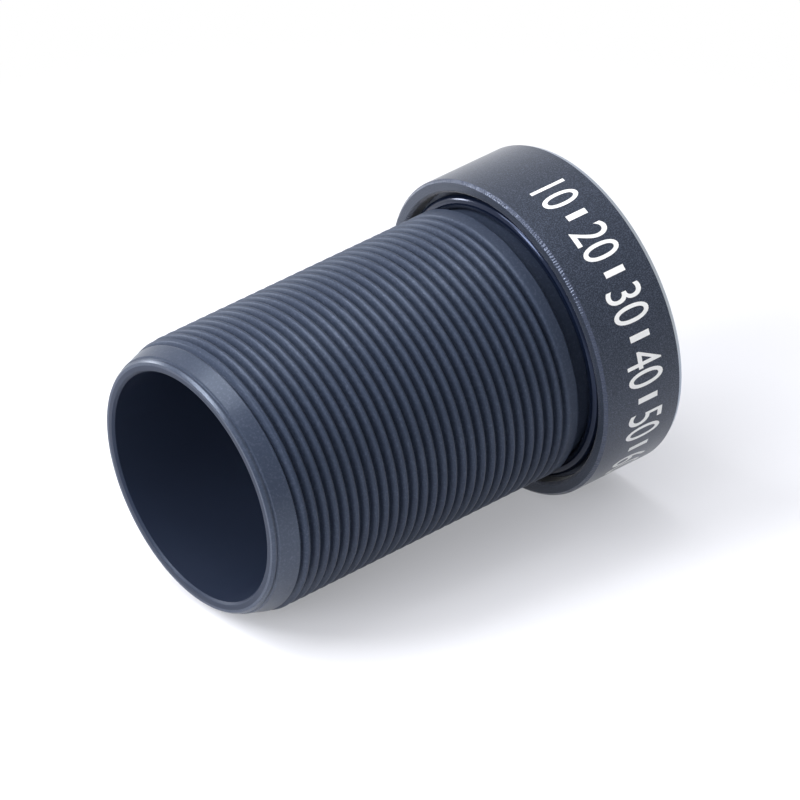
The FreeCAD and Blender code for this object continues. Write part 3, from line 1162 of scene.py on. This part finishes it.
@dataclass(frozen=True)
class GroundFace:
    """One side of a glass element: how it is ground, its curve and the flat that it starts from."""

    side: Side
    ground: Ground
    flat: float
    curve: float = math.inf
    clear: float = 0.0

    def height(self, radius: float) -> float:
        """The height of the surface at a radius inside the clear one.

        Args:
            radius: the radius, in millimetres.

        Returns:
            The height, in millimetres.
        """
        if self.ground is Ground.PLANE:
            return self.flat
        rise = math.sqrt(self.curve**2 - radius**2) - math.sqrt(self.curve**2 - self.clear**2)
        return self.flat + self.side.value * self.ground.value * rise


@dataclass(frozen=True)
class GlassElement:
    """One lens or filter: a round blank with a ground surface on each side."""

    name: str
    node: str
    slot: str
    rim: float
    front: GroundFace
    rear: GroundFace
    play: float = 0.015
    film: float = 0.003
    edge: float = 0.06
    steps: int = 14
    segments: int = 160

    def outline(self) -> list[tuple[float, float]]:
        """The section from the front vertex round the rim to the rear vertex.

        Neighbours meet face to face, so the blank is smaller by its fitting play round the rim and by
        half a film of cement or air on its sides.

        Returns:
            Points of radius and height, in millimetres.
        """
        rim = self.rim - self.play
        sides = []
        for face in (self.front, self.rear):
            inward = -face.side.value
            clear = min(face.clear, rim - self.edge)
            radii = [clear * step / self.steps for step in range(self.steps + 1)]
            points = [(radius, face.height(radius) + inward * self.film) for radius in radii]
            flat = points[-1][1]
            sides.append(points + [(rim - self.edge, flat), (rim, flat + inward * self.edge)])
        front, rear = sides
        return front + rear[::-1]

    def make(self, material: Material) -> None:
        """Builds the element and seats it.

        Args:
            material: its glass.
        """
        mesh = lathe(self.outline(), self.segments, closed=False)
        seat(new_piece(self.name, mesh), material, self.node)


RINGS = (
    ThreadedRing(
        "front_ring",
        "front_retaining_ring",
        (
            Corner(5.65, 0.35, 0.03),
            Corner(6.0, 0.35, 0.03),
            Corner(6.0, 1.298),
            Corner(5.3, 1.298),
        ),
        notch_bottom=0.0,
        notch_top=0.8,
    ),
    ThreadedRing(
        "rear_ring",
        "rear_retaining_ring",
        (
            Corner(4.1, 11.624),
            Corner(4.8, 11.624),
            Corner(4.8, 12.6, 0.03),
            Corner(4.3, 12.6, 0.03),
            Corner(4.3, 12.25),
            Corner(3.8, 12.25, 0.03),
            Corner(3.8, 12.0, 0.03),
        ),
        notch_bottom=12.25,
        notch_top=13.0,
    ),
)
ELEMENTS = (
    GlassElement(
        "front_element",
        "front_lens",
        "front_glass",
        6.0,
        GroundFace(Side.FRONT, Ground.DOMED, 1.298, 18.0, 5.3),
        GroundFace(Side.REAR, Ground.HOLLOW, 2.2, 60.0, 5.0),
    ),
    GlassElement(
        "crown_element",
        "crown_lens",
        "crown_glass",
        4.8,
        GroundFace(Side.FRONT, Ground.DOMED, 2.9, 13.0, 4.4),
        GroundFace(Side.REAR, Ground.DOMED, 3.728, 16.7, 4.8),
    ),
    GlassElement(
        "flint_element",
        "flint_lens",
        "flint_glass",
        4.8,
        GroundFace(Side.FRONT, Ground.HOLLOW, 3.728, 16.7, 4.8),
        GroundFace(Side.REAR, Ground.HOLLOW, 5.559, 37.3, 4.1),
    ),
    GlassElement(
        "biconcave_element",
        "biconcave_lens",
        "flint_glass",
        4.8,
        GroundFace(Side.FRONT, Ground.HOLLOW, 7.9, 7.2, 4.1),
        GroundFace(Side.REAR, Ground.HOLLOW, 10.806, 10.6, 4.1),
    ),
    GlassElement(
        "rear_element",
        "rear_lens",
        "crown_glass",
        4.8,
        GroundFace(Side.FRONT, Ground.DOMED, 11.306, 7.5, 4.1),
        GroundFace(Side.REAR, Ground.DOMED, 11.624, 32.1, 4.1),
    ),
    GlassElement(
        "filter_plate",
        "infrared_filter",
        "filter_glass",
        4.25,
        GroundFace(Side.FRONT, Ground.PLANE, 12.25, clear=4.0),
        GroundFace(Side.REAR, Ground.PLANE, 12.55, clear=4.0),
    ),
)


@dataclass(frozen=True)
class Lamp:
    """A square soft lamp that points at the lens.

    Its spot is right, up and near in the picture, and its side is in millimetres too. Glossy surfaces
    show it where it is mirrored.
    """

    name: str
    spot: tuple[float, float, float]
    side: float
    watts: float
    mirrored: bool = True


# Soft boxes above, to the left, near the open end and behind it, and a front fill. The fill is
# polarised, so it brightens colours and isn't mirrored.
LAMPS = (
    Lamp("soft_box", (-32, 210, 109), 150, 0.2),
    Lamp("side_box", (-139, 163, 83), 100, 0.25),
    Lamp("rim_box", (-70, 32, 54), 30, 0.05),
    Lamp("back_box", (-124, 65, -55), 30, 0.05),
    Lamp("fill_box", (-120, -10, 200), 150, 0.45, mirrored=False),
)


@dataclass
class Studio:
    """The camera, the lamps and the pale table, placed from the photograph's point of view.

    Lengths are in millimetres and angles in degrees. The room is darker round dark_side, a direction
    of right, up and near in the picture, and the table fades to white between its two distances.
    """

    aim: tuple[float, float, float] = (-0.4355, 0.328, 9.53)
    distance: float = 326.5
    azimuth: float = -50.82
    elevation: float = 29.9
    roll: float = 115.96
    focal_length: float = 361.7
    sensor: float = 36.0
    lamp_colour: str = "fbfcff"
    room_colour: str = "fafbff"
    room_level: float = 0.7
    dark_level: float = 0.3
    dark_side: tuple[float, float, float] = (0.12, -0.12, 1.0)
    dark_from: float = 0.5
    dark_full: float = 0.9
    board_colour: str = "c5c5c8"
    glow_colour: str = "f8f9fd"
    board_lift: float = 0.3
    fade_from: float = 18.0
    fade_to: float = 44.0
    table_radius: float = 110.0
    table_sides: int = 96
    head_edge: tuple[float, float, float] = (0, 7.0, 3.95)
    barrel_edge: tuple[float, float, float] = (0, 5.95, 18.5)

    @property
    def towards_camera(self) -> Vector:
        """The direction from the lens to the camera."""
        turn, tilt = math.radians(self.azimuth), math.radians(self.elevation)
        level = math.cos(tilt)
        return Vector((math.sin(turn) * level, -math.cos(turn) * level, math.sin(tilt)))

    @property
    def basis(self) -> Matrix:
        """The picture's right, up and towards-the-camera directions, as columns."""
        back = self.towards_camera
        level_right = Vector((0, 0, 1)).cross(back).normalized()
        level_up = back.cross(level_right)
        roll = math.radians(self.roll)
        right = level_right * math.cos(roll) - level_up * math.sin(roll)
        up = level_right * math.sin(roll) + level_up * math.cos(roll)
        return Matrix((right, up, back)).transposed()

    def place(self, right: float, up: float, near: float) -> Vector:
        """A point given in millimetres from the aim in the picture's own directions.

        Args:
            right: to the right in the picture.
            up: up in the picture.
            near: towards the camera.

        Returns:
            The point in the frame, in metres.
        """
        return (Vector(self.aim) + self.basis @ Vector((right, up, near))) * MM

    def make_camera(self) -> None:
        """Sets up the camera."""
        data = bpy.data.cameras.new("camera")
        data.lens = self.focal_length
        data.sensor_width = self.sensor
        data.clip_start = 1 * MM
        data.clip_end = 10
        camera = add_object("camera", data)
        stand = self.place(0, 0, self.distance)
        camera.matrix_world = Matrix.Translation(stand) @ self.basis.to_4x4()
        bpy.context.scene.camera = camera

    def add_lamp(self, lamp: Lamp) -> None:
        """Adds a lamp.

        Args:
            lamp: what it is and where it stands.
        """
        data = bpy.data.lights.new(lamp.name, "AREA")
        data.size = lamp.side * MM
        data.energy = lamp.watts
        data.color = linear(self.lamp_colour)[:3]
        box = add_object(lamp.name, data)
        box.visible_glossy = lamp.mirrored
        box.location = self.place(*lamp.spot)
        back = box.location - self.place(0, 0, 0)
        box.rotation_euler = back.to_track_quat("Z", "Y").to_euler()

    def make_world(self) -> None:
        """Sets up the room: pale all round, darker behind the camera, white where it is seen."""
        world = bpy.data.worlds.new("studio")
        bpy.context.scene.world = world
        world.use_nodes = True
        tree = world.node_tree
        tree.nodes.clear()
        add = partial(add_node, tree)
        direction = add("ShaderNodeTexCoord").outputs["Generated"]
        dark_side = self.basis @ Vector(self.dark_side).normalized()
        sides = {0: direction, 1: tuple(dark_side)}
        facing = add("ShaderNodeVectorMath", sides, operation="DOT_PRODUCT")
        levels = {
            "Value": facing,
            "From Min": self.dark_from,
            "From Max": self.dark_full,
            "To Min": self.room_level,
            "To Max": self.dark_level,
        }
        level = add(MAP_RANGE, levels, interpolation_type="SMOOTHSTEP")
        path = add("ShaderNodeLightPath").outputs
        glossy = {"Value": path["Is Glossy Ray"], "To Min": 1.0, "To Max": 1 / self.room_level}
        shown = add(MAP_RANGE, glossy)
        strength = add(MATH, {0: level, 1: shown}, operation="MULTIPLY")
        room = add("ShaderNodeBackground", {0: linear(self.room_colour), 1: strength})
        white = add("ShaderNodeBackground", {0: linear(WHITE), 1: 1.0})
        rays = {0: path["Is Camera Ray"], 1: path["Is Transmission Ray"]}
        seen = add(MATH, rays, operation="MAXIMUM")
        mixed = add("ShaderNodeMixShader", {0: seen, 1: room, 2: white})
        add("ShaderNodeOutputWorld", {0: mixed})

    def make_table(self) -> None:
        """Lays the pale table along the head's and the barrel's lower edges, as in the photograph."""
        head, barrel, across = Vector(self.head_edge), Vector(self.barrel_edge), Vector((-1, 0, 0))
        up = (barrel - head).normalized().cross(across).normalized()
        centre = (head + barrel) / 2
        turned = Matrix((across, up.cross(across), up)).transposed()
        mesh = bmesh.new()
        radius = self.table_radius * MM
        bmesh.ops.create_circle(mesh, cap_ends=True, segments=self.table_sides, radius=radius)
        mesh.transform(Matrix.Translation(centre * MM) @ turned.to_4x4())
        data = bpy.data.meshes.new("table")
        mesh.to_mesh(data)
        mesh.free()
        data.materials.append(self.table_material(centre))
        table = add_object("table", data)

    def table_material(self, centre: Vector) -> Material:
        """Matt white board that keeps the lens's shadow, fades to white and is clear from behind.

        Args:
            centre: the middle of the board, in millimetres.

        Returns:
            The material.
        """
        material = bpy.data.materials.new("white_board_matt")
        material.use_nodes = True
        tree = material.node_tree
        tree.nodes.clear()
        add = partial(add_node, tree)
        place = add("ShaderNodeTexCoord").outputs["Object"]
        ends = {0: place, 1: tuple(centre * MM)}
        distance = add("ShaderNodeVectorMath", ends, operation="DISTANCE")
        band = {"Value": distance, "From Min": self.fade_from * MM, "From Max": self.fade_to * MM}
        fade = add(MAP_RANGE, band, interpolation_type="SMOOTHSTEP")
        path = add("ShaderNodeLightPath").outputs
        seen = path["Is Camera Ray"]
        for ray in ("Is Glossy Ray", "Is Transmission Ray"):
            seen = add(MATH, {0: seen, 1: path[ray]}, operation="MAXIMUM")
        faded = add(MATH, {0: fade, 1: seen}, operation="MULTIPLY")
        lift = add(MATH, {0: seen, 1: self.board_lift}, operation="MULTIPLY")
        board = add("ShaderNodeBsdfDiffuse", {"Color": linear(self.board_colour)})
        glow = add("ShaderNodeEmission", {0: linear(self.glow_colour), 1: lift})
        lifted = add("ShaderNodeAddShader", {0: board, 1: glow})
        white = add("ShaderNodeEmission", {0: linear(WHITE), 1: 1.0})
        front = add("ShaderNodeMixShader", {0: faded, 1: lifted, 2: white})
        clear = add("ShaderNodeBsdfTransparent")
        behind = add("ShaderNodeNewGeometry").outputs["Backfacing"]
        both = add("ShaderNodeMixShader", {0: behind, 1: front, 2: clear})
        add("ShaderNodeOutputMaterial", {0: both})
        return material

    def make(self) -> None:
        """Sets up everything round the lens."""
        bpy.context.scene.view_settings.view_transform = "Standard"
        self.make_camera()
        for lamp in LAMPS:
            self.add_lamp(lamp)
        self.make_world()
        self.make_table()


def dress_inner_nodes(material: Material) -> None:
    """Gives the spacers and the stop, whose CAD solids stay in view, their finish.

    Args:
        material: the matt anodising.
    """
    for name in INNER_NODES:
        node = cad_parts[name]
        node.data.materials.clear()
        node.data.materials.append(material)
        log.info("%s: CAD solid, %s", name, material.name)


def main() -> None:
    """Builds the lens and its studio in order."""
    Studio().make()
    matt = MATT.make()
    glasses = {
        "front_glass": FRONT_GLASS.make(),
        "crown_glass": CROWN_GLASS.make(),
        "flint_glass": FLINT_GLASS.make(),
        "filter_glass": FILTER_GLASS.make(),
    }
    Barrel().make(TURNED.make())
    Head().make(BLASTED.make())
    PrintedScale().make(INK.make())
    SealingRing().make(RUBBER.make())
    for ring in RINGS:
        ring.make(matt)
    for element in ELEMENTS:
        element.make(glasses[element.slot])
    dress_inner_nodes(matt)


if __name__ == "__main__":
    main()
